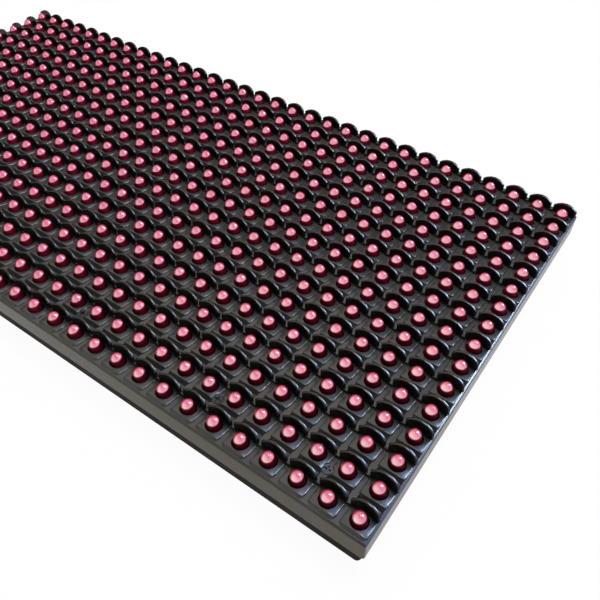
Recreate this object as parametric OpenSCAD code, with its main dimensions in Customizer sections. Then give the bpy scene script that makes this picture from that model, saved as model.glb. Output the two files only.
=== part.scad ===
// LED matrix display module: a moulded front mask with a hood over every lamp, 32 x 16 lamps on a circuit
// board, the drive electronics on the board's back, and a moulded back frame that clamps the board to the
// mask. X runs along the lamp rows, Y up the display, Z out of its face. Z = 0 is the plane it rests on.

/* [Pixel grid] */
// Distance between neighbouring lamps
pitch = 10; // [9.8:0.1:10.4]

/* [Front mask] */
// Height of the mask's side wall
skirt_h = 8.6; // [8:0.1:9.2]
// Thickness of the mask's side wall
skirt_t = 1.5; // [1.2:0.1:1.6]
// Thickness of the face plate
plate_t = 1.5; // [1.2:0.1:2]
// Radius of the mask's corners, seen from the front
corner_r = 0.8; // [0.4:0.1:1.2]
// Width of the pad around each lamp, at its foot
pad_w = 8.5; // [8:0.1:8.5]
// Height of a pad's front edge above the border
pad_rise = 0.75; // [0.6:0.05:0.9]
// Distance from a lamp's centre to its pad's front edge
pad_front = 3.4; // [3.3:0.1:3.6]
// Depth of each row's step below the border, at its hoods
step_dip = 0.5; // [0.45:0.05:0.6]
// Height of each row's step above the border, at the next row's hoods
step_rise = 0.45; // [0.3:0.05:0.6]
// Radius of the window that a lamp stands in
window_r = 2.7; // [2.6:0.05:2.8]

/* [Hoods] */
// Height of a hood's middle above the border
hood_h = 4.3; // [3.6:0.1:4.8]
// Width of a hood
hood_w = 8.6; // [8.6:0.1:9]
// Thickness of a hood's wall
hood_t = 0.85; // [0.7:0.05:1]
// Distance from a lamp's centre to the middle of its hood's inner face
hood_set = 3.3; // [3.2:0.05:3.5]
// Radius of a hood's wall, in plan, and of its arched top, seen along Y
hood_r = 7.4; // [7:0.1:8.4]

/* [Lamps] */
// Radius of a lens
lens_r = 2.25; // [2.1:0.05:2.35]
// Height of a lens's tip above the border
lens_tip = 4.2; // [3.6:0.1:4.6]
// Distance between a lamp's two legs
leg_gap = 2.54; // [2.4:0.02:2.6]
// Radius of a lamp's legs
leg_r = 0.25; // [0.2:0.01:0.3]

/* [Circuit board] */
// Thickness of the board
board_t = 1.6; // [1.2:0.2:2]
// Clearance between the board's edge and the mask's side wall
board_gap = 0.4; // [0.2:0.1:0.5]
// Room between the board and the face plate
lamp_room = 2; // [1.6:0.1:2.4]

/* [Back frame] */
// Height of the frame, from the plane it rests on to the board
frame_h = 11.9; // [11:0.1:13]
// Distance of the frame's wall from the mask's outer side
frame_inset = 2; // [1.8:0.1:2.1]
// Thickness of the frame's wall
frame_t = 1.2; // [1:0.1:1.3]
// Thickness of the frame's floor
floor_t = 2; // [1.6:0.1:2.4]
// Width of the floor's bars between the windows
bar_w = 10; // [8:1:14]

/* [Fasteners] */
// Distance between the mounting inserts, along X
insert_dx = 120; // [110:1:124]
// Distance between the mounting inserts, along Y
insert_dy = 120; // [116:1:124]
// Radius of the inserts' bore, tapped M3
insert_bore_r = 1.25; // [1.2:0.05:1.3]
// Outer radius of the inserts
insert_r = 2.1; // [2:0.1:2.4]
// Length of the inserts
insert_len = 6; // [5:0.5:7]
// Radius of the mask screws' shank
screw_r = 1; // [0.9:0.05:1.1]
// Radius of the mask screws' head
screw_head_r = 1.6; // [1.5:0.05:1.7]

/* [Hidden] */
$fn = 48;
cols = 32;
rows = 16;
over = 0.1;
module_w = cols * pitch;
module_d = rows * pitch;

// Levels, from the rest plane up
board_top = frame_h + board_t;
plate_z = board_top + lamp_room;
face_sink = 1;
floor_z = plate_z + plate_t;
face_z = floor_z + face_sink;
skirt_z = face_z - skirt_h;
root_z = plate_z + plate_t / 2;

// Face of the mask: border, steps, pads and hoods
side_border = 0.8;
edge_border = 0.6;
hood_end = hood_set - hood_r + sqrt(pow(hood_r, 2) - pow(hood_w / 2, 2));
step_back = hood_end + 0.75 * hood_t;
step_slope = (step_dip + step_rise) / pitch;
pad_gap = 0.2;
pad_back = hood_end - pad_gap;
pad_slope = (face_z + pad_rise - step_z(pad_back)) / (pad_front + pad_back);
pad_side_slope = 2;

// Mask screws, in the second row from each edge, in valleys between columns counted from the module's middle
screw_valleys = [-14, -10, -4, 4, 10, 14];
screw_rows = [1, rows - 2];
screw_drop = 2.5;
screw_head_h = 1.2;
screw_len = 13;
screw_slot = 0.5;
screw_slot_l = 2.2;
screw_clearance = 0.2;
counterbore_r = screw_head_r + screw_clearance;
screw_hole_r = screw_r + screw_clearance;
post_r = 2.2;
frame_post_r = 2.9;

// Lamps
flange_t = 0.8;
flange_lip = 0.3;
leg_tail = 1.2;
leg_hole_r = leg_r + 0.15;

// Back frame
frame_w = module_w - 2 * frame_inset;
frame_d = module_d - 2 * frame_inset;
frame_corner_r = 1.5;
band_w = 30;
end_w = 15;
bar_x = 65;
opening_corner_r = 3;
lip_h = 3;
lip_t = 1.5;
boss_r = 4;
gusset_t = 1.6;
gusset_drop = 2;

// Drive electronics on the board's back
chip_h = 1.5;
chip_lift = 0.15;
chip_w = 3.9;
chip_pitch = 1.27;
chip_end_trim = 0.26;
lead_w = 0.42;
lead_t = 0.2;
lead_reach = 1.05;
lead_foot = 0.6;
driver_cols = [-110, -80, -50, -20, 20, 50, 80, 110];
driver_row_y = 25;
buffer_x = -120;
switch_x = 10;
switch_rows = [-25, -38];
header_x = 130;
header_pins = 8;
pin_pitch = 2.54;
pin_w = 0.64;
pin_hole_r = 0.5;
shroud_w = 9;
shroud_ends = 7.6;
shroud_l = header_pins * pin_pitch + shroud_ends;
shroud_h = 9.1;
shroud_wall = 1.2;
shroud_floor = 2.4;
key_w = 4.5;
power_pins_n = 4;
power_pitch = 3.96;
power_pin_w = 1.14;
power_hole_r = 0.85;
power_w = 8.6;
power_ends = 0.8;
power_l = power_pins_n * power_pitch + power_ends;
power_h = 9.2;
power_floor = 3;
power_wall = 1.1;
pin_tail = 1.2;
pin_recess = 1.4;
power_pin_recess = 0.6;
can_r = 3.15;
can_h = 6.7;
can_base = 6.6;
can_base_h = 1;
can_x = 10;
can_y = 32;
resistor_array = [1.6, 3.2, 0.55];
resistor_y = 8;
resistor_step = 3;
bypass = [1.25, 2, 0.8];
bypass_y = 8;

lamp_row_nodes = [for (j = [1 : rows]) str("lamp_row_", j)];

// Places

function col_x(i) = (i - (cols - 1) / 2) * pitch;
function row_y(j) = (j - (rows - 1) / 2) * pitch;

module at_columns() {
    for (i = [0 : cols - 1])
        translate([col_x(i), 0, 0]) children();
}

module at_row_screws(j) {
    for (valley = screw_valleys, row = screw_rows)
        if (row == j)
            translate([valley * pitch, -screw_drop, 0]) children();
}

module at_mask_screws() {
    for (row = screw_rows)
        translate([0, row_y(row), 0]) at_row_screws(row) children();
}

module at_inserts() {
    for (i = [-1 : 1], side = [-1, 1])
        translate([i * insert_dx, side * insert_dy / 2, 0]) children();
}

module at_drivers() {
    for (x = driver_cols, side = [-1, 1])
        translate([x, side * driver_row_y, 0]) children();
}

module at_buffers() {
    for (side = [-1 : 1])
        translate([buffer_x, side * driver_row_y, 0]) children();
}

module at_switches() {
    for (side = [-1, 1], y = switch_rows)
        translate([side * switch_x, y, 0]) children();
}

module at_cans() {
    for (side = [-1, 1])
        translate([side * can_x, can_y, 0]) children();
}

// Turns a shape that stands up on the board's back, so that it hangs below the board
module under_board() {
    translate([0, 0, frame_h]) mirror([0, 0, 1]) children();
}

// Shared shapes

module round_rect(w, d, r) {
    square([w - 2 * r, d], center = true);
    square([w, d - 2 * r], center = true);
    for (x = [-1, 1], y = [-1, 1])
        translate([x * (w / 2 - r), y * (d / 2 - r)]) circle(r);
}

// A profile of Y and Z, drawn out along X
module along_x(length) {
    translate([-length / 2, 0, 0]) rotate([90, 0, 90]) linear_extrude(length) children();
}

// A profile of X and Z, drawn out along Y
module along_y(length) {
    rotate([90, 0, 0]) linear_extrude(length, center = true) children();
}

// Front mask

// Height of a row's step, v being the distance from the row's lamps along Y
function step_z(v) = face_z - step_dip + step_slope * (step_back - v);

// A row's plate along Y: it rises evenly from its hoods to its front
module step_profile(front) {
    back = hood_set + hood_t;
    polygon([[front, plate_z], [back, plate_z], [back, step_z(back)], [front, step_z(front)]]);
}

// The start of the next row's plate, behind this row's hoods
module riser_profile(back) {
    polygon([
        [step_back, plate_z], [back, plate_z],
        [back, step_z(back - pitch)], [step_back, step_z(step_back - pitch)]
    ]);
}

// A row's pads along Y: a wedge that rises out of the step to the pad's front edge
module pad_profile() {
    back = pad_back + pitch / 10;
    polygon([
        [-pad_front, root_z], [back, root_z],
        [back, face_z + pad_rise - pad_slope * (pad_front + back)], [-pad_front, face_z + pad_rise]
    ]);
}

// A row's pads along X: a flat with sloped sides for each column
module pad_columns() {
    foot_z = face_z - step_dip;
    height = step_dip + pad_rise + over;
    inset = height / pad_side_slope;
    at_columns()
        polygon([
            [-pad_w / 2, foot_z], [pad_w / 2, foot_z],
            [pad_w / 2 - inset, foot_z + height], [inset - pad_w / 2, foot_z + height]
        ]);
}

// A hood seen along Y: a wall with an arched top
module hood_profile() {
    intersection() {
        translate([0, face_z + hood_h - hood_r]) circle(hood_r);
        translate([-hood_w / 2, root_z]) square([hood_w, pitch]);
    }
}

// A disc in plan whose back edge is a hood's inner face, moved back into the wall or through it
module hood_disc(shift) {
    translate([0, hood_set + shift - hood_r, root_z]) cylinder(h = pitch, r = hood_r);
}

// A wall that curves round its lamp, under an arch of the same radius, so that its top edges are ellipses
module hood() {
    intersection() {
        along_y(2 * pitch) hood_profile();
        difference() {
            hood_disc(hood_t);
            hood_disc(0);
        }
    }
}

module row_body(front, back) {
    length = module_w - 2 * side_border + 2 * over;
    along_x(length) step_profile(front);
    difference() {
        along_x(length) riser_profile(back);
        at_columns() hood_disc(hood_t / 2);
    }
    intersection() {
        along_x(module_w) pad_profile();
        along_y(2 * pitch) pad_columns();
    }
    at_columns() hood();
}

// One row of the face, with its lamp windows, and its screw posts and counterbores if it has any
module mask_row(j) {
    reach = pitch / 2 - edge_border + over;
    front = j == 0 ? -reach : -pitch / 2;
    back = j == rows - 1 ? reach : pitch / 2;
    difference() {
        union() {
            row_body(front, back);
            at_row_screws(j) translate([0, 0, board_top]) cylinder(h = lamp_room + over, r = post_r);
        }
        at_columns() translate([0, 0, plate_z - over]) cylinder(h = face_z - plate_z + hood_h, r = window_r);
        at_row_screws(j) {
            translate([0, 0, board_top - over]) cylinder(h = face_z - board_top, r = screw_hole_r);
            translate([0, 0, floor_z]) cylinder(h = face_sink + hood_h, r = counterbore_r);
        }
    }
}

// The mask's side walls and border
module mask_rim() {
    difference() {
        translate([0, 0, skirt_z]) linear_extrude(skirt_h) round_rect(module_w, module_d, corner_r);
        translate([0, 0, skirt_z - over])
            linear_extrude(plate_z - skirt_z + over)
                square([module_w - 2 * skirt_t, module_d - 2 * skirt_t], center = true);
        translate([0, 0, skirt_z])
            linear_extrude(skirt_h + over)
                square([module_w - 2 * side_border, module_d - 2 * edge_border], center = true);
    }
}

module front_mask() {
    color("#1d1c1a") {
        mask_rim();
        for (j = [0 : rows - 1])
            translate([0, row_y(j), 0]) mask_row(j);
    }
}

// Lamps

// A lens with a round tip, the flange that it stands on, and two legs through the board
module lamp() {
    dome_z = face_z + lens_tip - lens_r;
    rotate_extrude()
        difference() {
            union() {
                translate([0, dome_z]) circle(lens_r);
                translate([0, board_top]) square([lens_r, dome_z - board_top]);
                translate([0, board_top]) square([lens_r + flange_lip, flange_t]);
            }
            translate([-pitch, board_top]) square([pitch, pitch]);
        }
    for (side = [-1, 1])
        translate([0, side * leg_gap / 2, frame_h - leg_tail])
            cylinder(h = board_t + leg_tail + over, r = leg_r);
}

module lamp_row(j) {
    color("#c8324a")
        translate([0, row_y(j), 0]) at_columns() lamp();
}

// Circuit board

module header_pin_places() {
    for (side = [-1, 1], k = [0 : header_pins - 1])
        translate([side * pin_pitch / 2, (k - (header_pins - 1) / 2) * pin_pitch, 0]) children();
}

module power_pin_places() {
    for (k = [0 : power_pins_n - 1])
        translate([0, (k - (power_pins_n - 1) / 2) * power_pitch, 0]) children();
}

module board_drills() {
    for (i = [0 : cols - 1], j = [0 : rows - 1], side = [-1, 1])
        translate([col_x(i), row_y(j) + side * leg_gap / 2, 0]) drill(leg_hole_r);
    at_mask_screws() drill(screw_hole_r);
    for (side = [-1, 1])
        translate([side * header_x, 0, 0]) header_pin_places() drill(pin_hole_r);
    power_pin_places() drill(power_hole_r);
}

module drill(r) {
    translate([0, 0, frame_h - over]) cylinder(h = board_t + 2 * over, r = r);
}

module circuit_board() {
    width = module_w - 2 * (skirt_t + board_gap);
    depth = module_d - 2 * (skirt_t + board_gap);
    color("#1f5a35")
        difference() {
            translate([-width / 2, -depth / 2, frame_h]) cube([width, depth, board_t]);
            board_drills();
        }
}

// Back frame

module frame_windows() {
    window_d = frame_d - 2 * band_w;
    side_w = frame_w / 2 - end_w - bar_x - bar_w / 2;
    round_rect(2 * bar_x - bar_w, window_d, opening_corner_r);
    for (side = [-1, 1])
        translate([side * (bar_x + bar_w / 2 + side_w / 2), 0])
            round_rect(side_w, window_d, opening_corner_r);
}

// The stiffening lip around each window, drawn as the window's own outline grown by the lip
module frame_lips() {
    window_d = frame_d - 2 * band_w + 2 * lip_t;
    side_w = frame_w / 2 - end_w - bar_x - bar_w / 2 + 2 * lip_t;
    round_rect(2 * bar_x - bar_w + 2 * lip_t, window_d, opening_corner_r + lip_t);
    for (side = [-1, 1])
        translate([side * (bar_x + bar_w / 2 + side_w / 2 - lip_t), 0])
            round_rect(side_w, window_d, opening_corner_r + lip_t);
}

// Ribs from the frame's long walls to the screw posts and the insert bosses
module frame_gussets() {
    height = frame_h - floor_t - gusset_drop;
    wall_y = frame_d / 2 - frame_t / 2;
    for (side = [-1, 1]) {
        row = screw_rows[(side + 1) / 2];
        post_y = row_y(row) - screw_drop;
        for (valley = screw_valleys)
            translate([valley * pitch - gusset_t / 2, min(post_y, side * wall_y), floor_t - over])
                cube([gusset_t, abs(side * wall_y - post_y), height]);
        for (i = [-1 : 1])
            translate([
                i * insert_dx - gusset_t / 2,
                side > 0 ? insert_dy / 2 : -wall_y,
                floor_t - over
            ])
                cube([gusset_t, wall_y - insert_dy / 2, height]);
    }
}

module back_frame() {
    color("#232323")
        difference() {
            union() {
                linear_extrude(floor_t) round_rect(frame_w, frame_d, frame_corner_r);
                linear_extrude(frame_h)
                    difference() {
                        round_rect(frame_w, frame_d, frame_corner_r);
                        square([frame_w - 2 * frame_t, frame_d - 2 * frame_t], center = true);
                    }
                linear_extrude(floor_t + lip_h) frame_lips();
                at_mask_screws() cylinder(h = frame_h, r = frame_post_r);
                at_inserts() cylinder(h = frame_h, r = boss_r);
                frame_gussets();
            }
            translate([0, 0, -over]) linear_extrude(frame_h) frame_windows();
            at_mask_screws()
                translate([0, 0, floor_z - screw_len]) cylinder(h = screw_len, r = screw_r);
            at_inserts()
                translate([0, 0, -over]) cylinder(h = insert_len + over, r = insert_r);
        }
}

// Fasteners

module mask_screws() {
    color("#4a4a4c")
        at_mask_screws()
            difference() {
                union() {
                    translate([0, 0, floor_z]) cylinder(h = screw_head_h, r = screw_head_r);
                    translate([0, 0, floor_z - screw_len]) cylinder(h = screw_len + over, r = screw_r);
                }
                for (turn = [0, 90])
                    translate([0, 0, floor_z + screw_head_h])
                        rotate(turn) cube([screw_slot_l, screw_slot, screw_head_h], center = true);
            }
}

module mounting_inserts() {
    color("#b08d3c")
        at_inserts()
            difference() {
                cylinder(h = insert_len, r = insert_r);
                translate([0, 0, -over]) cylinder(h = insert_len + 2 * over, r = insert_bore_r);
            }
}

// Connectors

// A keyed box for a ribbon cable's plug, open away from the board
module header_shroud() {
    under_board()
        difference() {
            translate([-shroud_w / 2, -shroud_l / 2, 0]) cube([shroud_w, shroud_l, shroud_h]);
            translate([shroud_wall - shroud_w / 2, shroud_wall - shroud_l / 2, shroud_floor])
                cube([shroud_w - 2 * shroud_wall, shroud_l - 2 * shroud_wall, shroud_h]);
            translate([-shroud_w / 2 - over, -key_w / 2, shroud_floor])
                cube([2 * shroud_wall, key_w, shroud_h]);
            header_pin_places()
                translate([-pin_w / 2, -pin_w / 2, -over]) cube([pin_w, pin_w, shroud_h]);
        }
}

module header_pins_group() {
    under_board()
        header_pin_places()
            translate([-pin_w / 2, -pin_w / 2, -board_t - pin_tail])
                cube([pin_w, pin_w, board_t + pin_tail + shroud_h - pin_recess]);
}

module input_shroud() {
    color("#202020") translate([-header_x, 0, 0]) header_shroud();
}

module input_pins() {
    color("#c9a64a") translate([-header_x, 0, 0]) header_pins_group();
}

module output_shroud() {
    color("#202020") translate([header_x, 0, 0]) mirror([1, 0, 0]) header_shroud();
}

module output_pins() {
    color("#c9a64a") translate([header_x, 0, 0]) header_pins_group();
}

// A polarised power socket with a back wall and a latch rail
module power_socket() {
    color("#e9e4d4")
        under_board()
            difference() {
                translate([-power_w / 2, -power_l / 2, 0]) cube([power_w, power_l, power_h]);
                translate([power_wall - power_w / 2, -power_l / 2 - over, power_floor])
                    cube([power_w, power_l + 2 * over, power_h]);
                power_pin_places()
                    translate([-power_pin_w / 2, -power_pin_w / 2, -over])
                        cube([power_pin_w, power_pin_w, power_h]);
            }
}

module power_pins() {
    color("#c3c6c8")
        under_board()
            power_pin_places()
                translate([-power_pin_w / 2, -power_pin_w / 2, -board_t - pin_tail])
                    cube([power_pin_w, power_pin_w, board_t + pin_tail + power_h - power_pin_recess]);
}

// Chips

function chip_length(leads) = leads / 2 * chip_pitch - chip_end_trim;

module chip_body(leads) {
    under_board()
        translate([-chip_w / 2, -chip_length(leads) / 2, chip_lift])
            cube([chip_w, chip_length(leads), chip_h]);
}

// One lead's profile: out of the body's side and down to a foot on the board
module lead_profile() {
    leave_z = chip_lift + chip_h / 2;
    polygon([[0, leave_z + lead_t], [0, leave_z - lead_t], [lead_reach - lead_foot, 0], [lead_reach, 0]]);
}

module chip_lead_set(leads) {
    under_board()
        for (side = [0, 1], k = [0 : leads / 2 - 1])
            mirror([side, 0, 0])
                translate([chip_w / 2, (k - (leads / 2 - 1) / 2) * chip_pitch, 0])
                    along_y(lead_w) lead_profile();
}

module driver_chips() {
    color("#26272a") at_drivers() chip_body(16);
}

module driver_leads() {
    color("#bfc3c6") at_drivers() chip_lead_set(16);
}

module buffer_chips() {
    color("#26272a") at_buffers() chip_body(20);
}

module buffer_leads() {
    color("#bfc3c6") at_buffers() chip_lead_set(20);
}

module row_switches() {
    color("#26272a") at_switches() chip_body(8);
}

module row_switch_leads() {
    color("#bfc3c6") at_switches() chip_lead_set(8);
}

// Small parts

module hung_block(size) {
    under_board() translate([-size[0] / 2, -size[1] / 2, 0]) cube(size);
}

// Two arrays of four resistors at each driver's end
module column_resistors() {
    color("#1c1c1e")
        at_drivers()
            for (side = [-1, 1])
                translate([side * resistor_step / 2, -resistor_y, 0]) hung_block(resistor_array);
}

module bypass_capacitors() {
    color("#b59a72") {
        at_drivers() translate([0, bypass_y, 0]) hung_block(bypass);
        at_buffers() translate([0, bypass_y + 2, 0]) hung_block(bypass);
    }
}

module capacitor_cans() {
    color("#c4c7ca")
        at_cans()
            under_board() translate([0, 0, can_base_h]) cylinder(h = can_h, r = can_r);
}

module capacitor_bases() {
    color("#2a2a2c") at_cans() hung_block([can_base, can_base, can_base_h]);
}

front_mask();
circuit_board();
back_frame();
mask_screws();
mounting_inserts();
input_shroud();
input_pins();
output_shroud();
output_pins();
power_socket();
power_pins();
driver_chips();
driver_leads();
buffer_chips();
buffer_leads();
row_switches();
row_switch_leads();
column_resistors();
bypass_capacitors();
capacitor_cans();
capacitor_bases();
for (j = [0 : rows - 1])
    lamp_row(j);
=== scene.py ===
"""Looks of a display module: a black hooded mask over 32 x 16 red lamps, with its electronics behind."""

import logging
import math
from dataclasses import dataclass, replace
from enum import Enum
from functools import cache

import bpy
import numpy as np
from mathutils import Matrix, Vector


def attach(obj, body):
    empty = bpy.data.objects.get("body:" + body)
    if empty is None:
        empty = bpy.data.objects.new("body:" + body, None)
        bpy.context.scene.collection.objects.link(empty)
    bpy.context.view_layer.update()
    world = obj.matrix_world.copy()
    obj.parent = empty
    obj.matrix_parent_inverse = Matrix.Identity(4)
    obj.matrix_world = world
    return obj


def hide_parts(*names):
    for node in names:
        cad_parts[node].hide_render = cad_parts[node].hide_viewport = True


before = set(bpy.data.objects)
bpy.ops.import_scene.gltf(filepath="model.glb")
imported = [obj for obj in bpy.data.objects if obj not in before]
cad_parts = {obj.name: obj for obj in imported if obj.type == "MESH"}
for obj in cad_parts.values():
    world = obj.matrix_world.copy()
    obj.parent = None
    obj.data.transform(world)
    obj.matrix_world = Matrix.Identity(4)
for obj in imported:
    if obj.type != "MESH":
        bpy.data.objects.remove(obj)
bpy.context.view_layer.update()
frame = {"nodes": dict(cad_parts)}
LOG = logging.getLogger("display_module")
MM = 0.001
Colour = tuple[float, float, float]


@dataclass
class Surface:
    """A surface in mm: its points, its faces by their number of corners, and a UV pair for each point."""

    points: np.ndarray
    faces: list[np.ndarray]
    uv: np.ndarray

    def repeated(self, offsets: np.ndarray) -> "Surface":
        """One copy of the surface at each offset.

        Args:
            offsets: Shifts in millimetres, as an array (copies, 3).

        Returns:
            All the copies as one surface.
        """
        base = (np.arange(len(offsets)) * len(self.points))[:, None, None]
        faces = [(base + part[None]).reshape(-1, part.shape[1]) for part in self.faces]
        points = (offsets[:, None, :] + self.points[None, :, :]).reshape(-1, 3)
        return Surface(points, faces, np.tile(self.uv, (len(offsets), 1)))


def grid_surface(points: np.ndarray, wrap: bool = False) -> Surface:
    """One quad between each four neighbours of a grid; its front is along column step times row step.

    Args:
        points: Grid of points, as an array (rows, columns, 3).
        wrap: Joins the last column to the first.

    Returns:
        The surface, with its UV as column and row fractions.
    """
    rows, cols = points.shape[:2]
    row = np.arange(rows - 1)[:, None]
    col = np.arange(cols if wrap else cols - 1)[None, :]
    after = (col + 1) % cols
    corners = [row * cols + col, row * cols + after, (row + 1) * cols + after, (row + 1) * cols + col]
    quads = np.stack(np.broadcast_arrays(*corners), axis=-1).reshape(-1, 4)
    uv = np.stack(np.meshgrid(np.linspace(0, 1, cols), np.linspace(0, 1, rows)), axis=-1).reshape(-1, 2)
    return Surface(points.reshape(-1, 3), [quads], uv)


def joined(surfaces: list[Surface]) -> Surface:
    """Several surfaces as one.

    Args:
        surfaces: The surfaces, in millimetres.

    Returns:
        One surface with all their points and faces.
    """
    starts = np.cumsum([0] + [len(s.points) for s in surfaces])
    faces = [part + start for s, start in zip(surfaces, starts) for part in s.faces]
    points = np.concatenate([s.points for s in surfaces])
    return Surface(points, faces, np.concatenate([s.uv for s in surfaces]))


def turned(profile: np.ndarray, segments: int) -> Surface:
    """A profile turned round Z: x = r cos a, y = r sin a, z = z, with the angle a along the columns.

    Args:
        profile: Radius and height pairs from the foot up, as an array (rings, 2); the last one closes
            at the axis.
        segments: Number of steps round the axis.

    Returns:
        The turned surface, with a fan of triangles at its tip.
    """
    angle = np.arange(segments) * 2 * np.pi / segments
    ring = profile[:-1]
    points = np.stack(
        [
            ring[:, :1] * np.cos(angle),
            ring[:, :1] * np.sin(angle),
            np.broadcast_to(ring[:, 1:], (len(ring), segments)),
        ],
        axis=-1,
    )
    body = grid_surface(points, wrap=True)
    tip = len(body.points)
    last = (len(ring) - 1) * segments + np.arange(segments)
    fan = np.stack([last, np.roll(last, -1), np.full(segments, tip)], axis=-1)
    height = np.append(body.points[:, 2], profile[-1, 1])
    return Surface(
        np.vstack([body.points, [0, 0, profile[-1, 1]]]),
        [body.faces[0], fan],
        np.stack([np.zeros(tip + 1), height], axis=-1),
    )


def piece(
    name: str, surface: Surface, material: bpy.types.Material, sharp: float
) -> bpy.types.Object:
    """Puts a surface into a mesh object that rides on the module.

    Args:
        name: Name of the piece.
        surface: The surface, in millimetres.
        material: Its finish.
        sharp: Angle in degrees above which an edge stays sharp.

    Returns:
        The new object, at the origin.
    """
    mesh = bpy.data.meshes.new(name)
    corners = np.concatenate([part.ravel() for part in surface.faces]).astype(np.int32)
    counts = np.concatenate([np.full(len(part), part.shape[1]) for part in surface.faces])
    starts = (np.cumsum(counts) - counts).astype(np.int32)
    mesh.vertices.add(len(surface.points))
    mesh.vertices.foreach_set("co", (surface.points * MM).astype(np.float32).ravel())
    mesh.loops.add(len(corners))
    mesh.loops.foreach_set("vertex_index", corners)
    mesh.polygons.add(len(counts))
    mesh.polygons.foreach_set("loop_start", starts)
    mesh.update(calc_edges=True)
    mesh.uv_layers.new(name="UVMap").data.foreach_set("uv", surface.uv[corners].astype(np.float32).ravel())
    mesh.shade_smooth()
    mesh.set_sharp_from_angle(angle=math.radians(sharp))
    mesh.materials.append(material)
    obj = bpy.data.objects.new(name, mesh)
    bpy.context.scene.collection.objects.link(obj)
    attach(obj, "root")
    LOG.info("%s: %d faces", name, len(counts))
    return obj


class Bench:
    """Adds nodes to one node tree and links them."""

    def __init__(self, tree: bpy.types.NodeTree) -> None:
        """Keeps the tree that the nodes go into."""
        self.tree = tree

    def node(self, kind: str, **values: object) -> bpy.types.Node:
        """A new node.

        Args:
            kind: Blender's type name of the node.
            values: Input values by socket name, with _ for a space.

        Returns:
            The node.
        """
        made = self.tree.nodes.new(kind)
        for name, value in values.items():
            made.inputs[name.replace("_", " ")].default_value = value
        return made

    def link(self, out: bpy.types.NodeSocket, into: bpy.types.NodeSocket) -> None:
        """Links one socket to another."""
        self.tree.links.new(out, into)

    def spread(self, value: bpy.types.NodeSocket, low: float, high: float, to_low: float, to_high: float):
        """A value mapped from one range to another and held within it.

        Args:
            value: The socket to read.
            low: Lower end of what is read.
            high: Upper end of what is read.
            to_low: Result at the lower end.
            to_high: Result at the upper end.

        Returns:
            The socket with the result.
        """
        made = self.node("ShaderNodeMapRange")
        for index, number in enumerate((low, high, to_low, to_high), start=1):
            made.inputs[index].default_value = number
        self.link(value, made.inputs[0])
        return made.outputs[0]

    def blend(self, factor: bpy.types.NodeSocket, first: object, second: object) -> bpy.types.NodeSocket:
        """A mix of two colours.

        Args:
            factor: The socket that mixes, 0 for the first and 1 for the second.
            first: A colour or a socket.
            second: A colour or a socket.

        Returns:
            The socket with the mixed colour.
        """
        made = self.tree.nodes.new("ShaderNodeMix")
        made.data_type = "RGBA"
        self.link(factor, made.inputs[0])
        for source, into in ((first, made.inputs[6]), (second, made.inputs[7])):
            if isinstance(source, tuple):
                into.default_value = (*source, 1)
            else:
                self.link(source, into)
        return made.outputs[2]

    def reckon(self, operation: str, *terms: object) -> bpy.types.NodeSocket:
        """The result of a maths node.

        Args:
            operation: Blender's name of the operation.
            terms: Numbers or sockets, in the order of the node's inputs.

        Returns:
            The socket with the result.
        """
        made = self.node("ShaderNodeMath")
        made.operation = operation
        for term, into in zip(terms, made.inputs):
            if isinstance(term, float):
                into.default_value = term
            else:
                self.link(term, into)
        return made.outputs[0]

    def parts(self, vector: bpy.types.NodeSocket) -> bpy.types.Node:
        """A node that gives a vector's X, Y and Z."""
        made = self.node("ShaderNodeSeparateXYZ")
        self.link(vector, made.inputs["Vector"])
        return made


def grain_group() -> bpy.types.NodeTree:
    """The shared surface of moulded and plated pieces: a fine grain and slow blotches.

    Returns:
        A node group with Grain Scale and Blotch Scale in, and Height and Blotch, both 0 to 1, out.
    """
    name = "surface_grain"
    if name in bpy.data.node_groups:
        return bpy.data.node_groups[name]
    tree = bpy.data.node_groups.new(name, "ShaderNodeTree")
    for label in ("Grain Scale", "Blotch Scale"):
        tree.interface.new_socket(label, in_out="INPUT", socket_type="NodeSocketFloat")
    for label in ("Height", "Blotch"):
        tree.interface.new_socket(label, in_out="OUTPUT", socket_type="NodeSocketFloat")
    bench = Bench(tree)
    source, sink = bench.node("NodeGroupInput"), bench.node("NodeGroupOutput")
    place = bench.node("ShaderNodeTexCoord")
    fine = bench.node("ShaderNodeTexNoise", Detail=3.0, Roughness=0.6)
    slow = bench.node("ShaderNodeTexNoise", Detail=5.0, Roughness=0.62)
    bench.link(place.outputs["Object"], fine.inputs["Vector"])
    bench.link(place.outputs["Object"], slow.inputs["Vector"])
    bench.link(source.outputs["Grain Scale"], fine.inputs["Scale"])
    bench.link(source.outputs["Blotch Scale"], slow.inputs["Scale"])
    bench.link(fine.outputs["Fac"], sink.inputs["Height"])
    bench.link(bench.spread(slow.outputs["Fac"], 0.34, 0.66, 0.0, 1.0), sink.inputs["Blotch"])
    return tree


class Polish(Enum):
    """How smooth a finish is, as its lowest roughness."""

    GLOSSY = 0.12
    SEMI = 0.17
    BRIGHT = 0.24
    SATIN = 0.36
    MATT = 0.55


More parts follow.
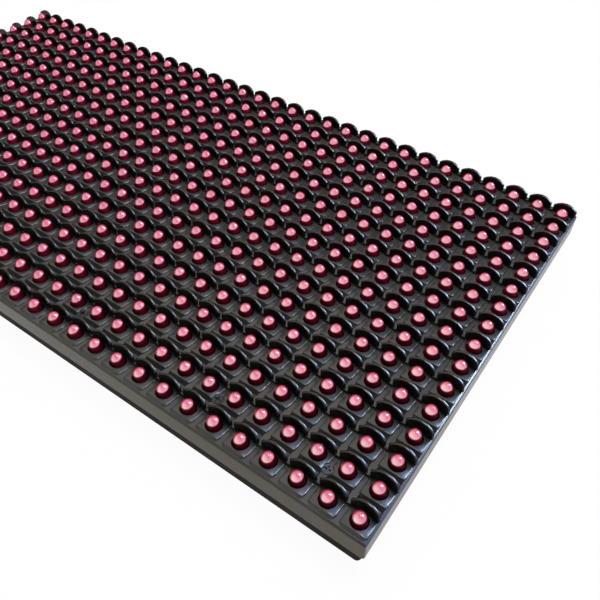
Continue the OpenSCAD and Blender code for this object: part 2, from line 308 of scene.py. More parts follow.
@dataclass(frozen=True)
class SurfaceFinish:
    """A moulded, plated or ceramic finish with grain, blotches and uneven gloss."""

    name: str
    dark: Colour
    light: Colour
    polish: Polish
    metallic: float = 0.0
    spread: float = 0.14
    grain_scale: float = 4200.0
    grain_depth: float = 0.02
    blotch_scale: float = 90.0
    coat: float = 0.0
    tint: Colour = (1.0, 1.0, 1.0)
    specular: float = 0.5
    edge_gloss: float = 1.0
    edge_band: tuple[float, float] = (0.35, 0.65)

    @cache
    def material(self) -> bpy.types.Material:
        """The finish as a material, made once.

        Returns:
            The material.
        """
        made = bpy.data.materials.new(f"{self.name}_look")
        made.use_nodes = True
        bench = Bench(made.node_tree)
        shader = made.node_tree.nodes["Principled BSDF"]
        shader.inputs["Metallic"].default_value = self.metallic
        shader.inputs["Coat Weight"].default_value = self.coat
        shader.inputs["Specular Tint"].default_value = (*self.tint, 1)
        turn = bench.node("ShaderNodeLayerWeight", Blend=0.5)
        rim = self.specular * self.edge_gloss
        gloss = bench.spread(turn.outputs["Facing"], *self.edge_band, self.specular, rim)
        bench.link(gloss, shader.inputs["Specular IOR Level"])
        grain = bench.node("ShaderNodeGroup")
        grain.node_tree = grain_group()
        grain.inputs["Grain Scale"].default_value = self.grain_scale
        grain.inputs["Blotch Scale"].default_value = self.blotch_scale
        blotch = grain.outputs["Blotch"]
        bench.link(bench.blend(blotch, self.dark, self.light), shader.inputs["Base Color"])
        low = self.polish.value
        bench.link(bench.spread(blotch, 0.0, 1.0, low, low + self.spread), shader.inputs["Roughness"])
        bump = bench.node("ShaderNodeBump", Strength=0.35, Distance=self.grain_depth * MM)
        bench.link(grain.outputs["Height"], bump.inputs["Height"])
        bench.link(bump.outputs["Normal"], shader.inputs["Normal"])
        return made


@dataclass(frozen=True)
class LensFinish:
    """Red casting resin: dark and deep red at the sides, with painted shade on one side, and pale where the
    cup under the tip shows, a painted highlight.
    """

    name: str = "lamp_epoxy"
    # Near black: painted shade on the side away from the highlight.
    painted_shade: Colour = (0.006, 0.0005, 0.001)
    deep: Colour = (0.060, 0.0018, 0.009)
    red: Colour = (0.26, 0.012, 0.036)
    # Pale, pink and white: the reflector cup under the tip, painted with the light it reflects, a painted
    # highlight.
    pale: Colour = (0.93, 0.33, 0.41)
    pink: Colour = (0.80, 0.20, 0.29)
    # The darker tip is painted shade on the far side of the dome.
    tip: Colour = (0.58, 0.110, 0.185)
    highlight_white: Colour = (1.0, 0.80, 0.84)
    low_view: Colour = (0.70, 0.085, 0.190)
    height_span: tuple[float, float] = (-1.0, 3.95)
    # Tilt of the cup's edge towards the side of the painted highlight.
    highlight_tilt: float = 0.07
    cup_edge: tuple[float, float] = (0.645, 0.70)
    sight_span: tuple[float, float] = (0.42, 0.76)
    cup_shift: tuple[float, float] = (-0.04, 0.07)
    lean_up: float = 1.6

    def cup_height(self, bench: Bench, spot: bpy.types.Node, sight: bpy.types.Node) -> bpy.types.NodeSocket:
        """A point's height as a share, raised on the side of the painted highlight, and sunk for a view from
        above.

        Args:
            bench: The material's bench.
            spot: Parts of the UV.
            sight: Parts of the direction to the viewer.

        Returns:
            The socket with the share.
        """
        share = bench.spread(spot.outputs["Y"], *self.height_span, 0.0, 1.0)
        # The cup's edge drops on one side, so the painted highlight spreads there.
        tilted = bench.reckon("MULTIPLY_ADD", spot.outputs["X"], self.highlight_tilt, share)
        shift = bench.spread(sight.outputs["Z"], *self.sight_span, *self.cup_shift)
        return bench.reckon("SUBTRACT", tilted, shift)

    def rings(self, bench: Bench, height: bpy.types.NodeSocket) -> bpy.types.NodeSocket:
        """The resin's colours by height: deep red sides, the pale cup's ring as a painted highlight, and a
        darker tip as painted shade.

        Args:
            bench: The material's bench.
            height: The height as a share.

        Returns:
            The socket with the colour.
        """
        ramp = bench.node("ShaderNodeValToRGB")
        stops = (
            (0.0, self.deep),
            (0.58, self.deep),
            (0.65, self.red),
            (0.69, self.pale),
            (0.74, self.pale),
            (0.82, self.pink),
            (0.93, self.tip),
        )
        for index, (at, colour) in enumerate(stops):
            stop = ramp.color_ramp.elements[index] if index < 2 else ramp.color_ramp.elements.new(at)
            stop.position, stop.color = at, (*colour, 1)
        bench.link(height, ramp.inputs["Fac"])
        return ramp.outputs["Color"]

    def colour(
        self, bench: Bench, spot: bpy.types.Node, sight: bpy.types.Node, height: bpy.types.NodeSocket
    ) -> bpy.types.NodeSocket:
        """The resin's colour: the cup with its pale side, a painted highlight, inside a red edge, and the
        dark sides below it, with painted shade away from the highlight.

        Seen from lower down, all of it is a fuller red.

        Args:
            bench: The material's bench.
            spot: Parts of the UV.
            sight: Parts of the direction to the viewer.
            height: The height as a share.

        Returns:
            The socket with the colour.
        """
        rings = self.rings(bench, height)
        place = bench.node("ShaderNodeTexCoord")
        noise = bench.node("ShaderNodeTexNoise", Scale=70.0, Detail=0.0)
        bench.link(place.outputs["Object"], noise.inputs["Vector"])
        own = bench.blend(bench.spread(noise.outputs["Fac"], 0.3, 0.7, 0.0, 0.22), rings, self.pink)
        cup = bench.spread(height, *self.cup_edge, 0.0, 1.0)
        # Painted highlight: the cup turns white on its front left side.
        painted_highlight = bench.reckon("MULTIPLY", bench.spread(spot.outputs["X"], 0.15, 0.80, 0.0, 0.85), cup)
        low = bench.spread(sight.outputs["Z"], 0.35, 0.80, 0.72, 0.0)
        lit = bench.blend(low, bench.blend(painted_highlight, own, self.highlight_white), self.low_view)
        glow = bench.blend(low, rings, self.red)
        # Painted shade: the sides go near black away from the painted highlight.
        side = bench.blend(bench.spread(spot.outputs["X"], -0.9, 0.1, 0.0, 1.0), self.painted_shade, glow)
        turn = bench.node("ShaderNodeLayerWeight", Blend=0.5)
        edge = bench.spread(turn.outputs["Facing"], 0.28, 0.56, 0.0, 0.95)
        return bench.blend(cup, side, bench.blend(edge, lit, self.red))

    def material(self) -> bpy.types.Material:
        """The resin. U tells how far a point lies on the side of the painted highlight, and V its height in
        mm.

        The pale cup, painted with the light it reflects, lies flat inside the lens, so its shading normal
        leans up. Only the coat has the dome's.

        Returns:
            The material.
        """
        made = bpy.data.materials.new(f"{self.name}_look")
        made.use_nodes = True
        bench = Bench(made.node_tree)
        shader = made.node_tree.nodes["Principled BSDF"]
        gloss = (("Coat Roughness", 0.11), ("IOR", 1.55), ("Coat IOR", 1.5))
        for socket, value in (*gloss, ("Roughness", 0.5), ("Specular IOR Level", 0.0)):
            shader.inputs[socket].default_value = value
        shape = bench.node("ShaderNodeNewGeometry")
        spot = bench.parts(bench.node("ShaderNodeUVMap").outputs["UV"])
        sight = bench.parts(shape.outputs["Incoming"])
        height = self.cup_height(bench, spot, sight)
        bench.link(self.colour(bench, spot, sight, height), shader.inputs["Base Color"])
        bench.link(bench.spread(height, 0.60, 0.75, 0.10, 0.7), shader.inputs["Coat Weight"])
        lean = bench.node("ShaderNodeVectorMath")
        bench.link(shape.outputs["Normal"], lean.inputs[0])
        lean.inputs[1].default_value = (0, 0, self.lean_up)
        level = bench.node("ShaderNodeVectorMath")
        level.operation = "NORMALIZE"
        bench.link(lean.outputs[0], level.inputs[0])
        bench.link(level.outputs[0], shader.inputs["Normal"])
        bench.link(shape.outputs["Normal"], shader.inputs["Coat Normal"])
        return made


@dataclass(frozen=True)
class LaminateFinish:
    """A circuit board's solder mask, with copper tracks that show as paler lines under it."""

    name: str = "board_laminate"
    mask: Colour = (0.010, 0.085, 0.030)
    track: Colour = (0.028, 0.150, 0.055)
    track_pitch: float = 1.27
    track_gap: float = 0.22
    track_run: float = 17.5

    def material(self) -> bpy.types.Material:
        """The laminate: tracks are narrow bands of a brick pattern on X and Y, broken by slow noise.

        Returns:
            The material.
        """
        made = bpy.data.materials.new(f"{self.name}_look")
        made.use_nodes = True
        bench = Bench(made.node_tree)
        shader = made.node_tree.nodes["Principled BSDF"]
        shader.inputs["Coat Weight"].default_value = 0.4
        place = bench.node("ShaderNodeTexCoord")
        bricks = bench.node("ShaderNodeTexBrick", Scale=1.0, Mortar_Smooth=0.1)
        bricks.inputs["Mortar Size"].default_value = self.track_gap * MM
        bricks.inputs["Brick Width"].default_value = self.track_run * MM
        bricks.inputs["Row Height"].default_value = self.track_pitch * MM
        bricks.offset = 0.37
        bench.link(place.outputs["Object"], bricks.inputs["Vector"])
        grain = bench.node("ShaderNodeGroup")
        grain.node_tree = grain_group()
        grain.inputs["Grain Scale"].default_value = 1500.0
        grain.inputs["Blotch Scale"].default_value = 60.0
        bench.link(bench.blend(bricks.outputs["Fac"], self.track, self.mask), shader.inputs["Base Color"])
        bench.link(bench.spread(grain.outputs["Blotch"], 0.0, 1.0, 0.28, 0.42), shader.inputs["Roughness"])
        bump = bench.node("ShaderNodeBump", Strength=0.3, Distance=0.03 * MM)
        bump.invert = True
        bench.link(bricks.outputs["Fac"], bump.inputs["Height"])
        bench.link(bump.outputs["Normal"], shader.inputs["Normal"])
        return made


WARM: Colour = (1.0, 0.93, 0.80)
BLACK_MOULDING = SurfaceFinish(
    "mask_plastic",
    (0.029, 0.0290, 0.0285),
    (0.039, 0.0390, 0.0380),
    Polish.SEMI,
    spread=0.08,
    grain_depth=0.008,
    tint=WARM,
    specular=0.25,
    edge_gloss=0.15,
)
# A darker copy of the same moulding for the hoods and the low gaps: painted shade.
HOOD_PAINTED_SHADE = replace(
    BLACK_MOULDING, name="mask_hood_painted_shade", dark=(0.009, 0.0085, 0.008), light=(0.013, 0.0125, 0.012)
)
# The side wall's lighter, warm brown copy of the black moulding: a painted reflection of warm light.
WALL_PAINTED_LIGHT = SurfaceFinish(
    "mask_wall_painted_light",
    (0.056, 0.044, 0.020),
    (0.067, 0.053, 0.025),
    Polish.SEMI,
    spread=0.05,
    tint=WARM,
    specular=0.08,
)
FRAME_MOULDING = SurfaceFinish(
    "frame_plastic",
    (0.003, 0.003, 0.003),
    (0.006, 0.006, 0.0055),
    Polish.MATT,
    grain_depth=0.04,
    specular=0.05,
)
SCREW_STEEL = SurfaceFinish(
    "screw_steel", (0.024, 0.024, 0.025), (0.036, 0.036, 0.037), Polish.BRIGHT, metallic=1.0
)
LEG_TIN = SurfaceFinish("lead_tin", (0.52, 0.53, 0.54), (0.68, 0.69, 0.70), Polish.BRIGHT, metallic=1.0)
NODE_FINISHES: dict[str, SurfaceFinish] = {
    "back_frame": FRAME_MOULDING,
    "mask_screws": SCREW_STEEL,
    "mounting_inserts": SurfaceFinish(
        "insert_brass", (0.55, 0.37, 0.13), (0.72, 0.52, 0.22), Polish.BRIGHT, metallic=1.0
    ),
    "input_shroud": SurfaceFinish(
        "header_plastic", (0.010, 0.010, 0.011), (0.018, 0.018, 0.019), Polish.SATIN
    ),
    "input_pins": SurfaceFinish(
        "header_gold", (0.70, 0.50, 0.17), (0.83, 0.64, 0.28), Polish.GLOSSY, metallic=1.0
    ),
    "power_socket": SurfaceFinish("socket_nylon", (0.66, 0.62, 0.52), (0.76, 0.73, 0.64), Polish.SATIN),
    "power_pins": SurfaceFinish(
        "power_tin", (0.55, 0.56, 0.57), (0.70, 0.71, 0.72), Polish.BRIGHT, metallic=1.0
    ),
    "driver_chips": SurfaceFinish(
        "chip_epoxy", (0.016, 0.016, 0.017), (0.027, 0.027, 0.029), Polish.MATT, grain_scale=9000.0
    ),
    "column_resistors": SurfaceFinish(
        "array_ceramic", (0.012, 0.012, 0.014), (0.022, 0.022, 0.025), Polish.SATIN
    ),
    "bypass_capacitors": SurfaceFinish(
        "capacitor_ceramic", (0.36, 0.24, 0.13), (0.46, 0.32, 0.19), Polish.SATIN
    ),
    "capacitor_cans": SurfaceFinish(
        "can_aluminium", (0.66, 0.67, 0.68), (0.80, 0.81, 0.82), Polish.BRIGHT, metallic=1.0
    ),
    "capacitor_bases": SurfaceFinish(
        "base_plastic", (0.014, 0.014, 0.015), (0.022, 0.022, 0.024), Polish.MATT
    ),
    "driver_leads": LEG_TIN,
}
SAME_FINISH = {
    "output_shroud": "input_shroud",
    "output_pins": "input_pins",
    "buffer_chips": "driver_chips",
    "row_switches": "driver_chips",
    "buffer_leads": "driver_leads",
    "row_switch_leads": "driver_leads",
}


@dataclass(frozen=True)
class PixelGrid:
    """The even grid that lamps, windows, pads and hoods stand on."""

    pitch: float = 10.0
    cols: int = 32
    rows: int = 16
    face_z: float = 18.0

    def columns(self) -> np.ndarray:
        """X of each column's lamps."""
        return (np.arange(self.cols) - (self.cols - 1) / 2) * self.pitch

    def lines(self) -> np.ndarray:
        """Y of each row's lamps."""
        return (np.arange(self.rows) - (self.rows - 1) / 2) * self.pitch

    def places(self) -> np.ndarray:
        """The border's level over each lamp's centre, as an array (lamps, 3)."""
        x, y = np.meshgrid(self.columns(), self.lines())
        return np.stack([x.ravel(), y.ravel(), np.full(x.size, self.face_z)], axis=-1)


@dataclass
class FrontMask:
    """The mask's moulding. Heights are over the border; u and v run along X and Y from a lamp's centre."""

    grid: PixelGrid
    window_r: float = 2.7
    window_bevel: float = 0.06
    plate_low: float = -2.5
    lap: float = 0.05
    pad_front: float = 3.4
    pad_back: float = 3.45
    pad_half: float = 4.24
    pad_taper: float = 0.02
    pad_rise: float = 0.75
    pad_slope: float = 0.172
    pad_flat: float = 1.8
    pad_round: float = 0.007
    pad_angles: int = 28
    foot_front: float = 4.5
    foot_back: float = 3.5
    foot_half: float = 4.42
    foot_taper: float = 0.012
    foot_sink: float = 0.15
    toe_line: float = 4.0
    gap_low: float = -0.6
    gap_sink: float = 0.1
    gap_end: float = 3.8
    gap_slope: float = 0.5
    step_dip: float = 0.5
    step_slope: float = 0.095
    step_line: float = 2.36
    strip_half: float = 1.05
    hood_half: float = 4.3
    hood_set: float = 3.3
    hood_bow: float = 0.051
    hood_t: float = 0.85
    hood_h: float = 4.3
    hood_foot: float = -0.7
    hood_lap: float = 0.15
    hood_arch_r: float = 6.7
    hood_end_share: float = 0.72
    hood_end_drop: float = 0.1
    border_x: float = 0.8
    border_y: float = 0.6
    corner_r: float = 0.8
    corner_least: float = 0.03
    corner_steps: int = 7
    skirt_h: float = 8.6
    skirt_t: float = 1.5
    well_r: float = 1.8
    well_lip: float = 0.32
    well_lip_drop: float = 0.01
    well_bore: float = 0.9
    well_gap: float = 0.04
    well_half: float = 1.75
    well_floor: float = -1.0
    well_angles: int = 28
    well_open: float = 0.45
    well_ramp: float = 0.2
    well_pad_u: float = 3.9
    screw_drop: float = 2.5
    screw_cols: tuple[int, ...] = (-14, -10, -4, 4, 10, 14)

    def pad_height(self, u: np.ndarray, v: np.ndarray) -> np.ndarray:
        """Height of a pad: it falls evenly from its front to the hood, and its sides round off in front."""
        side = np.maximum(np.abs(u) - self.pad_flat, 0) ** 2 * (self.pad_front - v)
        return self.pad_rise - self.pad_slope * (v + self.pad_front) - self.pad_round * side

    def step_height(self, v: np.ndarray) -> np.ndarray:
        """Height of a row's step, rising evenly towards the row in front."""
        return self.step_slope * (self.step_line - v) - self.step_dip

    def inside(self, count: int, border: float) -> float:
        """Half of the face inside the border, with a small lap under it.

        Args:
            count: Number of columns or rows.
            border: Width of the border.

        Returns:
            The distance from the middle.
        """
        return count * self.grid.pitch / 2 - border + self.lap

    @staticmethod
    def outline(
        angle: np.ndarray, front: float, back: float, half: float, taper: float, power: float = 16.0
    ) -> np.ndarray:
        """Polar radius of a four-sided plan with rounded corners: a high power mean over its sides.

        Args:
            angle: Angles from the lamp's centre.
            front: Distance of the front side.
            back: Distance of the back side.
            half: Distance of the left and the right side.
            taper: Slope by which these two close in towards the front.
            power: Higher for sharper corners.

        Returns:
            The radius at each angle.
        """
        across = math.sqrt(1 - taper**2)
        sides = np.array([[0, -1, front], [0, 1, back], [across, -taper, half], [-across, -taper, half]])
        facing = np.cos(angle) * sides[:, :1] + np.sin(angle) * sides[:, 1:2]
        return np.sum((np.maximum(facing, 0) / sides[:, 2:]) ** power, axis=0) ** (-1 / power)

    def screw_rows(self) -> np.ndarray:
        """Y of the two rows of lamps that the mask screws stand beside."""
        return self.grid.lines()[[1, -2]]

    def screw_places(self) -> np.ndarray:
        """X and Y of the mask screws, as an array (screws, 2)."""
        x = np.array(self.screw_cols) * self.grid.pitch
        x, y = np.meshgrid(x, self.screw_rows() - self.screw_drop)
        return np.stack([x.ravel(), y.ravel()], axis=-1)

    def pads(self) -> Surface:
        """Rings round each lamp from a pad's foot over its rounded crest to the window and down its wall.

        Returns:
            All the pads, bitten where a screw's well cuts into them.
        """
        angle = np.arange(self.pad_angles) * 2 * np.pi / self.pad_angles
        crest = self.outline(angle, self.pad_front, self.pad_back, self.pad_half, self.pad_taper)
        foot = self.outline(angle, self.foot_front, self.foot_back, self.foot_half, self.foot_taper)
        wall = np.full_like(angle, self.window_r)
        over, down = np.array([(0.06, 0.24), (-0.01, 0.10), (-0.12, 0.03), (-0.26, 0.0)]).T[:, :, None]
        radius = np.vstack([foot, crest + over, wall + self.window_bevel, wall])
        u, v = radius * np.cos(angle), radius * np.sin(angle)
        z = self.pad_height(u, v)
        z[1 : 1 + len(down)] -= down
        z[0] = self.step_height(v[0]) - self.foot_sink
        z[-1] = self.plate_low
        made = grid_surface(np.stack([u, v, z], axis=-1), wrap=True).repeated(self.grid.places())
        feet = made.points.reshape(self.grid.rows, self.grid.cols, -1, 3)[1:, :, : self.pad_angles]
        low = self.grid.face_z + self.gap_low - self.gap_sink
        feet[..., 2] = np.where(v[0] < -self.toe_line, low, feet[..., 2])
        away = made.points[:, None, :2] - self.screw_places()[None]
        reach = np.linalg.norm(away, axis=-1)
        near = reach.argmin(axis=1)
        rows = np.arange(len(near))
        reach = reach[rows, near]
        push = np.maximum(self.well_r + self.well_gap - reach, 0) / np.maximum(reach, 1e-6)
        made.points[:, :2] += away[rows, near] * push[:, None]
        return made

    def valleys(self) -> Surface:
        """Strips between the columns: a sawtooth that rises to the front and drops at each row's hoods.

        Returns:
            The strips, left open where a screw's well stands.
        """
        lines, edge = self.grid.lines(), self.inside(self.grid.rows, self.border_y)
        drop = np.repeat(lines + self.step_line, 2)
        low, high = -self.step_dip, self.step_slope * self.grid.pitch - self.step_dip
        wells = np.add.outer(self.screw_rows() - self.screw_drop, [-self.well_half, self.well_half]).ravel()
        y = np.concatenate([[-edge], drop, wells, [edge]])
        z = np.concatenate(
            [
                self.step_height(np.array([-edge - lines[0]])),
                np.tile([low, high], self.grid.rows),
                self.step_height(wells - np.repeat(self.screw_rows(), 2)),
                self.step_height(np.array([edge - lines[-1] - self.grid.pitch])),
            ]
        )
        order = np.argsort(y, kind="stable")
        y, z = y[order], z[order]
        bounds = (np.arange(self.grid.cols + 1) - self.grid.cols / 2) * self.grid.pitch
        limit = self.inside(self.grid.cols, self.border_x)
        sides = np.clip(np.add.outer(bounds, [-self.strip_half, self.strip_half]), -limit, limit)
        x = np.broadcast_to(sides[:, None, :], (len(bounds), len(y), 2))
        level = z[None, :, None] + self.grid.face_z
        points = np.stack(np.broadcast_arrays(x, y[None, :, None], level), axis=-1)
        strip = grid_surface(np.zeros((len(y), 2, 3)))
        made = strip.repeated(np.zeros((len(bounds), 3)))
        made.points = points.reshape(-1, 3)
        middle = made.points[made.faces[0]].mean(axis=1)
        away = np.abs(middle[:, None, :2] - self.screw_places()[None])
        open_at = (away < self.well_r).all(axis=-1).any(axis=1)
        made.faces = [made.faces[0][~open_at]]
        return made

    def fronts(self) -> tuple[Surface, Surface]:
        """Floors in front of each row's pads, back to the hoods of the row before: low between two rows.

        Returns:
            The low floors, and the level ones in front of the first row and behind the last one's hoods.
        """
        pitch = self.grid.pitch
        lines = np.append(self.grid.lines(), (self.grid.rows + 1) * pitch / 2)
        edge = self.inside(self.grid.rows, self.border_y)
        y = np.stack([lines - pitch + self.hood_set + self.hood_lap, lines - self.gap_end], axis=-1)
        y[0, 0], y[-1, 1] = -edge, edge
        level = (self.step_height(y - lines[:, None]) + self.grid.face_z)[:, :, None]
        half = pitch / 2 - self.strip_half
        flat = half - self.gap_slope
        x = np.add.outer(self.grid.columns(), [-half, -flat, flat, half])
        between = np.ones(len(lines), bool)
        between[[0, -1]] = False
        low = between[:, None, None] & np.array([False, True, True, False])
        z = np.where(low, self.grid.face_z + self.gap_low, level)
        points = np.stack(np.broadcast_arrays(x[None, :, None, :], y[:, None, :, None], z[:, None]), axis=-1)
        made = []
        for chosen in (between, ~between):
            made.append(grid_surface(points[0, 0]).repeated(np.zeros((chosen.sum() * self.grid.cols, 3))))
            made[-1].points = points[chosen].reshape(-1, 3)
        return made[0], made[1]

    def wells(self) -> Surface:
        """Round wells for the screw heads: a flat lip, a wall that follows pad and valley, and a floor.

        Returns:
            All the wells.
        """
        angle = np.arange(self.well_angles) * 2 * np.pi / self.well_angles
        side = np.clip((np.abs(np.cos(angle)) - self.well_open) / self.well_ramp, 0, 1)
        level = self.step_height(np.sin(angle) * self.well_r - self.screw_drop)
        pad = self.pad_height(self.well_pad_u, -self.screw_drop) - self.lap
        floor = np.full_like(angle, self.well_floor)
        radius = np.array([self.well_r + self.well_lip, self.well_r, self.well_r, self.well_bore])[:, None]
        z = np.stack([level - self.well_lip_drop, level + side * (pad - level), floor, floor])
        points = np.stack([radius * np.cos(angle), radius * np.sin(angle), z], axis=-1)
        spots = self.screw_places()
        offsets = np.column_stack([spots, np.full(len(spots), self.grid.face_z)])
        return grid_surface(points, wrap=True).repeated(offsets)

    def rim(self) -> tuple[Surface, Surface]:
        """The side wall and border: one profile carried round a rectangle with rounded corners.

        Returns:
            The wall and the sloped border, each a closed band.
        """
        low = -self.skirt_h
        wall = [
            [self.skirt_t, self.skirt_t, self.plate_low],
            [self.skirt_t, self.skirt_t, low + 0.1],
            [self.skirt_t - 0.1, self.skirt_t - 0.1, low],
            [0.22, 0.22, low],
            [0.06, 0.06, low + 0.06],
            [0.0, 0.0, low + 0.22],
            [0.0, 0.0, low + 0.26],
            [0.0, 0.0, -0.48],
        ]
        border = [
            [0.05, 0.05, -0.36],
            [0.18, 0.18, -0.25],
            [self.border_x - 0.06, self.border_y - 0.06, 0.0],
            [self.border_x, self.border_y, -0.06],
            [self.border_x, self.border_y, -0.65],
        ]
        profile = np.array(wall + border)
        steps = np.linspace(0, 90, self.corner_steps)
        turn = np.radians(np.add.outer(np.arange(4) * 90, steps)).ravel()
        side = np.repeat(np.array([[1, 1], [-1, 1], [-1, -1], [1, -1]]), self.corner_steps, axis=0)
        inset = profile[:, None, :2]
        radius = np.maximum(self.corner_r - inset.min(axis=-1), self.corner_least)
        half = np.array([self.grid.cols, self.grid.rows]) * self.grid.pitch / 2
        x = side[:, 0] * (half[0] - inset[..., 0] - radius) + radius * np.cos(turn)
        y = side[:, 1] * (half[1] - inset[..., 1] - radius) + radius * np.sin(turn)
        z = np.broadcast_to(profile[:, None, 2] + self.grid.face_z, x.shape)
        band = np.stack([x, y, z], axis=-1)
        return grid_surface(band[: len(wall)], wrap=True), grid_surface(band[len(wall) - 1 :], wrap=True)

    def hoods(self) -> Surface:
        """A rounded wall section carried along a shallow plan arc, under an arched top.

        The inner face is at v = set - bow u u, and the top is at z = height - R + sqrt(R R - u u).

        Returns:
            All the hoods, each closed at its ends.
        """
        share = np.array([-1, -0.97, -0.74, -0.4, 0, 0.4, 0.74, 0.97, 1])
        u = self.hood_half * share
        v = self.hood_set - self.hood_bow * u**2
        top = self.hood_h - self.hood_arch_r + np.sqrt(self.hood_arch_r**2 - u**2)
        lean = np.stack([2 * self.hood_bow * u, np.ones_like(u)]) / np.hypot(2 * self.hood_bow * u, 1)
        section = np.array([(0, 9), (0, 0.28), (0, 0.22), (0.05, 0.06), (0.2, 0)])
        across = np.append(section[:, 0], self.hood_t - section[::-1, 0])[:, None]
        down = np.append(section[:, 1], section[::-1, 1])[:, None]
        ends = np.abs(share) == 1
        middle = self.hood_t / 2
        depth = middle + (across - middle) * np.where(ends, self.hood_end_share, 1.0)
        z = np.maximum(top - down - np.where(ends, self.hood_end_drop, 0.0), self.hood_foot)
        points = np.stack([u + depth * lean[0], v + depth * lean[1], z], axis=-1)
        made = grid_surface(points)
        column = np.arange(len(across)) * len(u)
        made.faces.append(np.stack([column, (column + len(u) - 1)[::-1]]))
        return made.repeated(self.grid.places())

    def build(self) -> list[bpy.types.Object]:
        """Makes the mask's three pieces.

        Returns:
            The face with its border, which stands for the CAD mask, the side wall, and the hoods and gaps.
        """
        finish = BLACK_MOULDING.material()
        wall, border = self.rim()
        gaps, level = self.fronts()
        face = joined([self.pads(), self.valleys(), level, self.wells(), border])
        body = piece("mask_face", face, finish, sharp=42)
        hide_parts("front_mask")
        # The side wall takes the lighter, warm copy of the moulding: a painted reflection.
        side = piece("mask_wall_painted_light", wall, WALL_PAINTED_LIGHT.material(), sharp=42)
        # The hoods and the low gaps between rows take the darker copy of the moulding: painted shade.
        shades = joined([self.hoods(), gaps])
        hoods = piece("mask_hoods", shades, HOOD_PAINTED_SHADE.material(), sharp=50)
        return [body, side, hoods]


@dataclass
class LampField:
    """Lamps with a lens, a flange and two legs soldered under the board. Heights are over the border."""

    grid: PixelGrid
    lens_r: float = 2.45
    lens_angles: int = 16
    tip: float = 3.95
    dome_h: float = 3.75
    board_top: float = -4.5
    board_low: float = -6.1
    flange_lip: float = 0.3
    flange_t: float = 0.8
    flange_ring: float = 0.02
    leg_gap: float = 2.54
    leg_r: float = 0.25
    leg_angles: int = 8
    leg_tail: float = 1.2
    # Plan direction of the side where each lens's highlight is painted.
    highlight_side: tuple[float, float] = (-0.30, -0.954)

    def lenses(self) -> Surface:
        """A flange, a straight side and a bullet's half-oval tip turned round each lamp's axis.

        Returns:
            All the lenses; UV is how far a point is on the front left side, where the resin's highlight is
            painted, and its height over the border.
        """
        arc = np.radians([0, 18, 34, 48, 60, 71, 81, 90])
        dome = np.stack([self.lens_r * np.cos(arc), self.tip + self.dome_h * (np.sin(arc) - 1)], axis=-1)
        lip, flange_top = self.lens_r + self.flange_lip, self.board_top + self.flange_t
        foot = [
            [lip, self.board_top],
            [lip, flange_top],
            [self.lens_r, flange_top],
            [self.lens_r, flange_top + self.flange_ring],
        ]
        one = turned(np.concatenate([foot, dome]), self.lens_angles)
        one.uv[:, 0] = one.points[:, :2] @ np.array(self.highlight_side) / self.lens_r
        return one.repeated(self.grid.places())

    def legs(self) -> Surface:
        """A solder cone that runs up to each leg's cut end, turned round the leg and hung under the board.

        Returns:
            All the legs.
        """
        tail, half = self.leg_tail, self.leg_gap / 2
        cone = [[0.95, 0], [0.62, 0.2], [0.4, 0.5], [self.leg_r + 0.04, 0.85]]
        one = turned(np.array([*cone, [self.leg_r, tail - 0.06], [0, tail]]), self.leg_angles)
        one.points[:, 1:] *= -1
        one.points[:, 2] += self.board_low
        spots = self.grid.places()[:, None, :] + np.array([[0, -half, 0], [0, half, 0]])
        return one.repeated(spots.reshape(-1, 3))

    def build(self) -> list[bpy.types.Object]:
        """Makes the lenses, which stand for the CAD lamp rows, and their legs.

        Returns:
            Both pieces.
        """
        lenses = piece("lamp_lenses", self.lenses(), LensFinish().material(), sharp=40)
        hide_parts(*(f"lamp_row_{row}" for row in range(1, self.grid.rows + 1)))
        return [lenses, piece("lamp_legs", self.legs(), LEG_TIN.material(), sharp=50)]


@dataclass
class Electronics:
    """The CAD nodes of board, frame, connectors and chips, which keep their shapes and get their finishes."""

    nodes: dict[str, bpy.types.Object]

    def dress(self) -> None:
        """Gives every shown CAD node its material."""
        board = LaminateFinish().material()
        for name, obj in self.nodes.items():
            finish = NODE_FINISHES.get(SAME_FINISH.get(name, name))
            material = board if name == "circuit_board" else finish.material() if finish else None
            if material is None:
                continue
            obj.data.materials.clear()
            obj.data.materials.append(material)
            LOG.info("%s: %s", name, material.name)


@dataclass(frozen=True)
class Softbox:
    """A square or oblong area light that faces a point near the module's middle."""

    name: str
    place: tuple[float, float, float]
    aim: tuple[float, float, float]
    size: tuple[float, float]
    watts: float
    colour: Colour
    shines: bool = True

    def build(self) -> bpy.types.Object:
        """Makes the light, which is only seen in gloss where it doesn't shine.

        Returns:
            The light's object.
        """
        lamp = bpy.data.lights.new(self.name, "AREA")
        lamp.shape, lamp.size, lamp.size_y = "RECTANGLE", *self.size
        lamp.energy, lamp.color = self.watts, self.colour
        obj = bpy.data.objects.new(self.name, lamp)
        bpy.context.scene.collection.objects.link(obj)
        obj.location = self.place
        obj.visible_diffuse = self.shines
        obj.rotation_euler = (Vector(self.aim) - Vector(self.place)).to_track_quat("-Z", "Y").to_euler()
        return obj


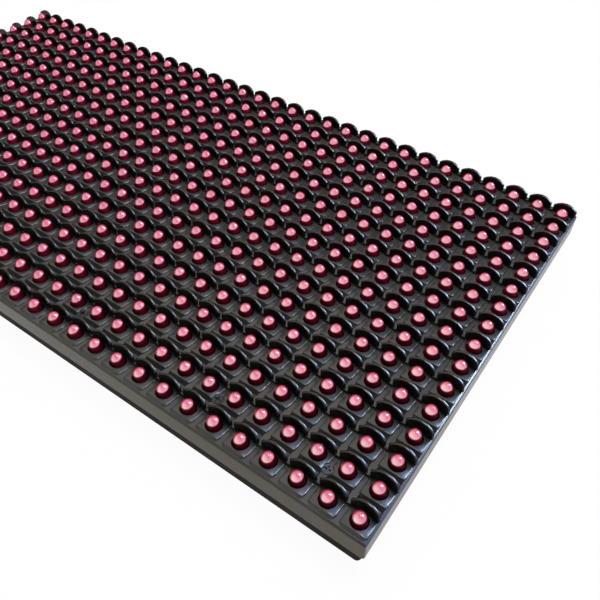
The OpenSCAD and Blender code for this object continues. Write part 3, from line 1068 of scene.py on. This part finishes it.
@dataclass
class Studio:
    """Floor, world, lights and camera."""

    lens_mm: float = 37.94
    sensor_mm: float = 36.0
    near_m: float = 0.01
    camera_at: tuple[float, float, float] = (0.1829, -0.1404, 0.1792)
    right: tuple[float, float, float] = (0.8155, 0.5787, -0.0029)
    up: tuple[float, float, float] = (-0.4244, 0.6015, 0.6768)
    floor_half: float = 4.0
    floor_share: float = 0.96
    world_level: float = 0.24

    def lights(self) -> tuple[Softbox, ...]:
        """A wide box overhead, one on top, a weak one in front, and a cool window and sky at the right."""
        middle = (0.03, -0.01, 0.02)
        return (
            Softbox("overhead_box", (-0.4, 0.5, 0.95), middle, (0.9, 0.8), 3.2, (1.0, 0.97, 0.93)),
            Softbox("top_box", (0.22, 0.22, 1.1), middle, (0.4, 0.4), 10.0, (1.0, 0.98, 0.95)),
            Softbox("front_box", (-0.28, -0.72, 0.36), middle, (0.6, 0.4), 0.6, (1.0, 0.98, 0.95)),
            Softbox(
                "window_box", (0.53, 0.50, 0.58), middle, (0.36, 0.36), 26.0, (0.60, 0.77, 1.0), shines=False
            ),
            Softbox("sky_box", (0.62, 0.38, 0.76), middle, (1.1, 1.4), 34.0, (0.10, 0.30, 1.0), shines=False),
        )

    @staticmethod
    def seen(bench: Bench) -> bpy.types.NodeSocket:
        """A socket that is 1 for camera, glossy and transmission rays, and 0 for others."""
        path = bench.node("ShaderNodeLightPath")
        value = path.outputs["Is Camera Ray"]
        for other in ("Is Glossy Ray", "Is Transmission Ray"):
            value = bench.reckon("MAXIMUM", value, path.outputs[other])
        return value

    def floor(self) -> bpy.types.Object:
        """A pale floor that is white to the camera and still takes the module's shadow.

        Returns:
            The floor.
        """
        made = bpy.data.materials.new("studio_floor")
        made.use_nodes = True
        made.node_tree.nodes.clear()
        bench = Bench(made.node_tree)
        matt = bench.node("ShaderNodeBsdfDiffuse", Color=(0.86, 0.86, 0.85, 1))
        glow = bench.node("ShaderNodeEmission", Color=(1, 1, 1, 1), Strength=1.0)
        mix, sink = bench.node("ShaderNodeMixShader"), bench.node("ShaderNodeOutputMaterial")
        bench.link(bench.spread(self.seen(bench), 0.0, 1.0, 0.0, self.floor_share), mix.inputs[0])
        bench.link(matt.outputs[0], mix.inputs[1])
        bench.link(glow.outputs[0], mix.inputs[2])
        bench.link(mix.outputs[0], sink.inputs["Surface"])
        mesh = bpy.data.meshes.new("studio_floor")
        half = self.floor_half
        corners = [(-half, -half, 0), (half, -half, 0), (half, half, 0), (-half, half, 0)]
        mesh.from_pydata(corners, [], [(0, 1, 2, 3)])
        mesh.materials.append(made)
        obj = bpy.data.objects.new("studio_floor", mesh)
        bpy.context.scene.collection.objects.link(obj)
        return obj

    def world(self) -> None:
        """A white surround for the camera and reflections, and a soft fill for everything else."""
        made = bpy.data.worlds.new("studio_world")
        bpy.context.scene.world = made
        made.use_nodes = True
        bench = Bench(made.node_tree)
        back = made.node_tree.nodes["Background"]
        back.inputs["Color"].default_value = (1, 1, 1, 1)
        bench.link(bench.spread(self.seen(bench), 0.0, 1.0, self.world_level, 1.0), back.inputs["Strength"])

    def camera(self) -> bpy.types.Object:
        """The camera, at the photograph's place and angle.

        Returns:
            The camera's object.
        """
        made = bpy.data.cameras.new("camera")
        made.lens, made.sensor_width, made.clip_start = self.lens_mm, self.sensor_mm, self.near_m
        obj = bpy.data.objects.new("camera", made)
        bpy.context.scene.collection.objects.link(obj)
        right, up = Vector(self.right).normalized(), Vector(self.up).normalized()
        axes = Matrix((right, up, right.cross(up))).transposed()
        obj.matrix_world = Matrix.Translation(self.camera_at) @ axes.to_4x4()
        bpy.context.scene.camera = obj
        return obj

    def build(self) -> None:
        """Makes the whole stage."""
        bpy.context.scene.view_settings.view_transform = "Standard"
        self.floor()
        self.world()
        for box in self.lights():
            box.build()
        self.camera()


def main() -> None:
    """Builds the mask, the lamps, the back's finishes and the stage."""
    logging.basicConfig(level=logging.INFO, format="%(name)s %(message)s")
    grid = PixelGrid()
    FrontMask(grid).build()
    LampField(grid).build()
    Electronics(frame["nodes"]).dress()
    Studio().build()


if __name__ == "__main__":
    main()
